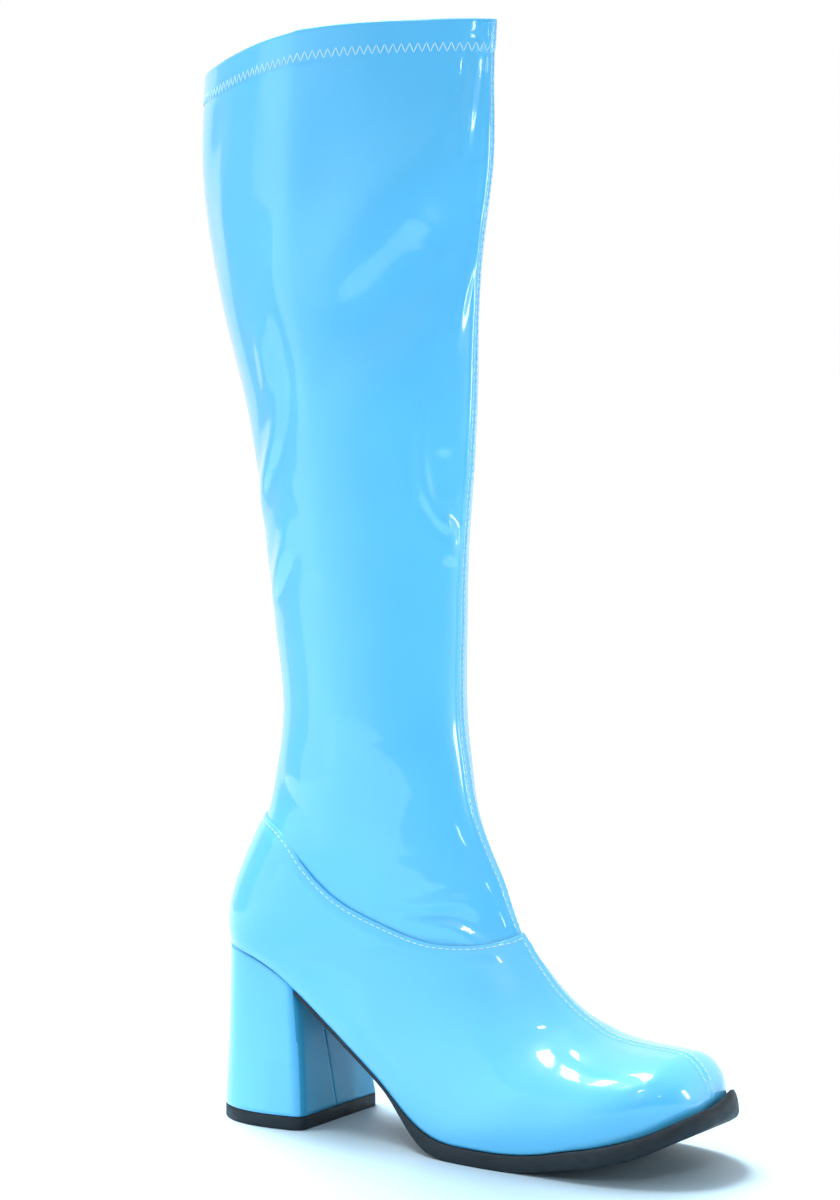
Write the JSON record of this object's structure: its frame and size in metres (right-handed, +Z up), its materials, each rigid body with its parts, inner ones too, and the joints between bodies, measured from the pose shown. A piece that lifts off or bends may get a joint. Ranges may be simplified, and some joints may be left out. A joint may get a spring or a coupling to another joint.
{
  "type": "go go boot",
  "caption": "Knee-high pale blue patent go go boot with a stretch shaft, a low rounded toe, a black rubber sole and a covered block heel; right foot.",
  "frame": {"origin": "the middle of the heel's face on the floor", "axes": "+X from the heel to the toe, +Y to the inner side of the foot, +Z up the leg"},
  "size_m": [0.2657, 0.0873, 0.482],
  "materials": {
    "patent": "high-gloss patent, pale sky blue",
    "sole_rubber": "matt black rubber",
    "insole_board": "plain sock lining over board"
  },
  "bodies": {
    "root": {"outsole": "sole_rubber", "upper": "patent", "shaft": "patent", "insole": "insole_board", "heel_block": "patent", "heel_top_piece": "sole_rubber"}
  },
  "joints": []
}
